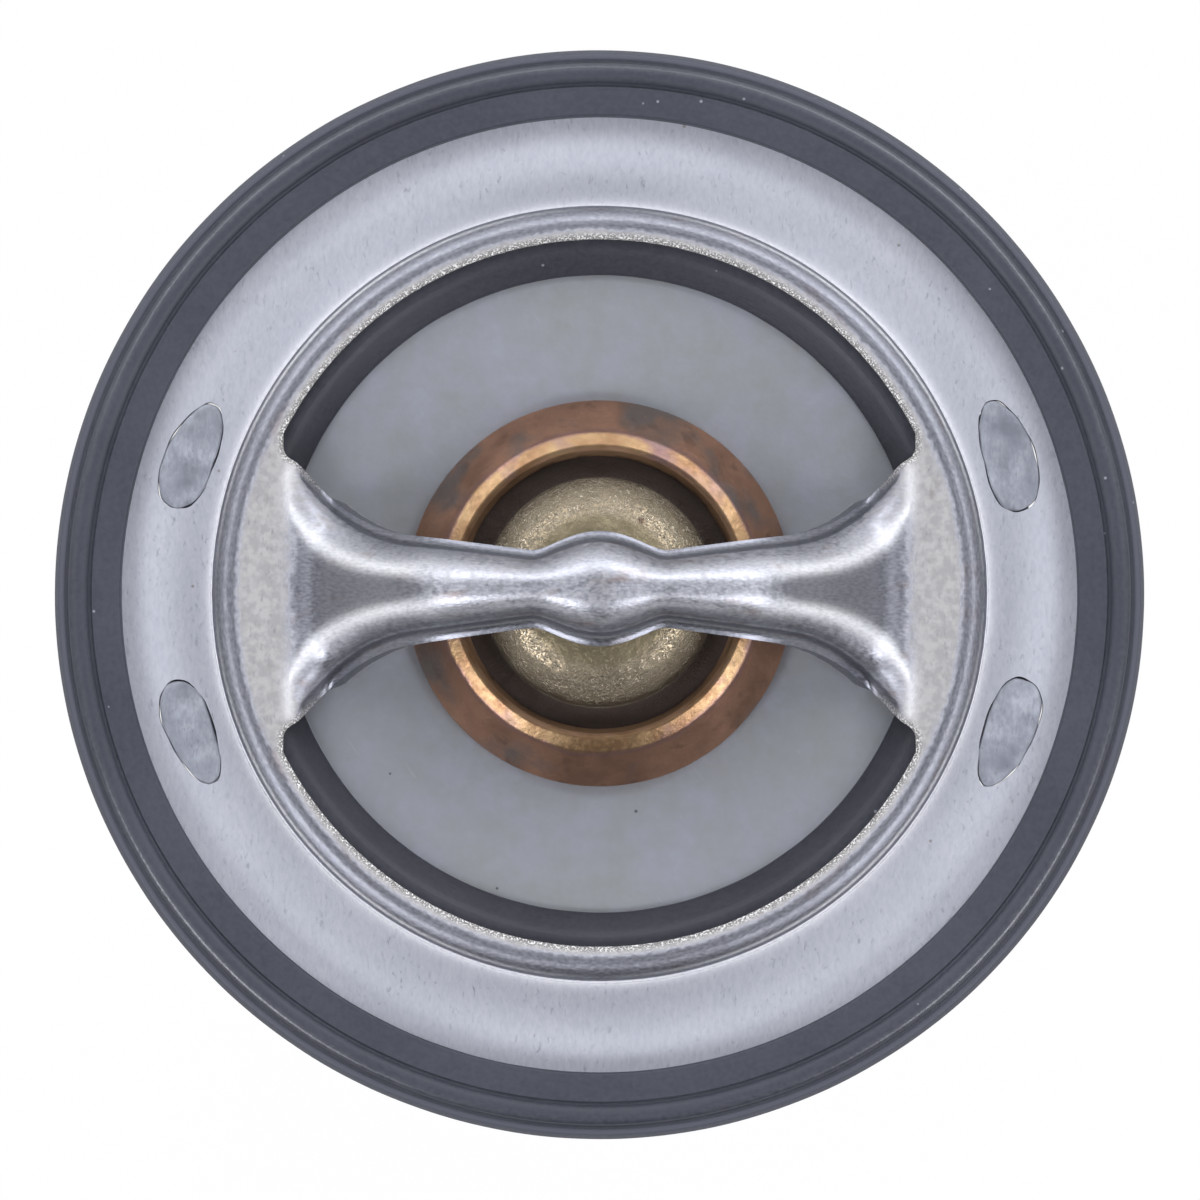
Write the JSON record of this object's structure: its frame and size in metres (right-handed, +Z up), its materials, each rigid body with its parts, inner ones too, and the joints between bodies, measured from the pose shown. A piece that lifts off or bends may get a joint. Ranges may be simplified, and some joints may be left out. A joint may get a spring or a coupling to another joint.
{
  "type": "engine thermostat",
  "caption": "Cooling thermostat insert: rubber-rimmed pressed flange with a bow-tie bridge, a sprung valve plate carried by a wax element, and a bypass plate on its lower stud.",
  "frame": {"origin": "on the axis, at the middle of the flange's sheet inside the rim gasket", "axes": "+Z up along the axis to the bridge, X along the bridge"},
  "size_m": [0.068, 0.068, 0.0559],
  "materials": {
    "pressed_steel": "pressed, grainy matt with a satin bridge",
    "gasket_rubber": "moulded, matt, dusty",
    "plate_steel": "matt, lightly scratched",
    "seal_rubber": "moulded, matt",
    "cup_copper": "drawn copper alloy, heat tinted",
    "guide_brass": "tumbled",
    "boot_rubber": "moulded",
    "wax": "waxy",
    "piston_steel": "ground",
    "spring_steel": "drawn wire",
    "stem_brass": "turned",
    "clip_steel": "blackened"
  },
  "bodies": {
    "frame": {"flange_bridge": "pressed_steel", "rim_gasket": "gasket_rubber", "lower_yoke": "pressed_steel", "piston": "piston_steel", "main_spring": "spring_steel"},
    "valve": {"valve_plate": "plate_steel", "valve_seal": "seal_rubber", "element_cup": "cup_copper", "wax_charge": "wax", "rubber_boot": "boot_rubber", "guide": "guide_brass", "bypass_stem": "stem_brass", "bypass_spring": "spring_steel", "bypass_washer": "plate_steel", "circlip": "clip_steel"},
    "bypass": {"bypass_plate": "plate_steel"}
  },
  "joints": [
    {"name": "valve_lift", "type": "slide", "parent": "frame", "child": "valve", "axis": [0, 0, -1], "range_m": [0, 0.009], "stiffness_N_per_m": 3500, "springref_m": -0.002, "deforming": ["main_spring"]},
    {"name": "bypass_overtravel", "type": "slide", "parent": "valve", "child": "bypass", "axis": [0, 0, 1], "range_m": [0, 0.0045], "stiffness_N_per_m": 1200, "springref_m": -0.004, "deforming": ["bypass_spring"]}
  ]
}
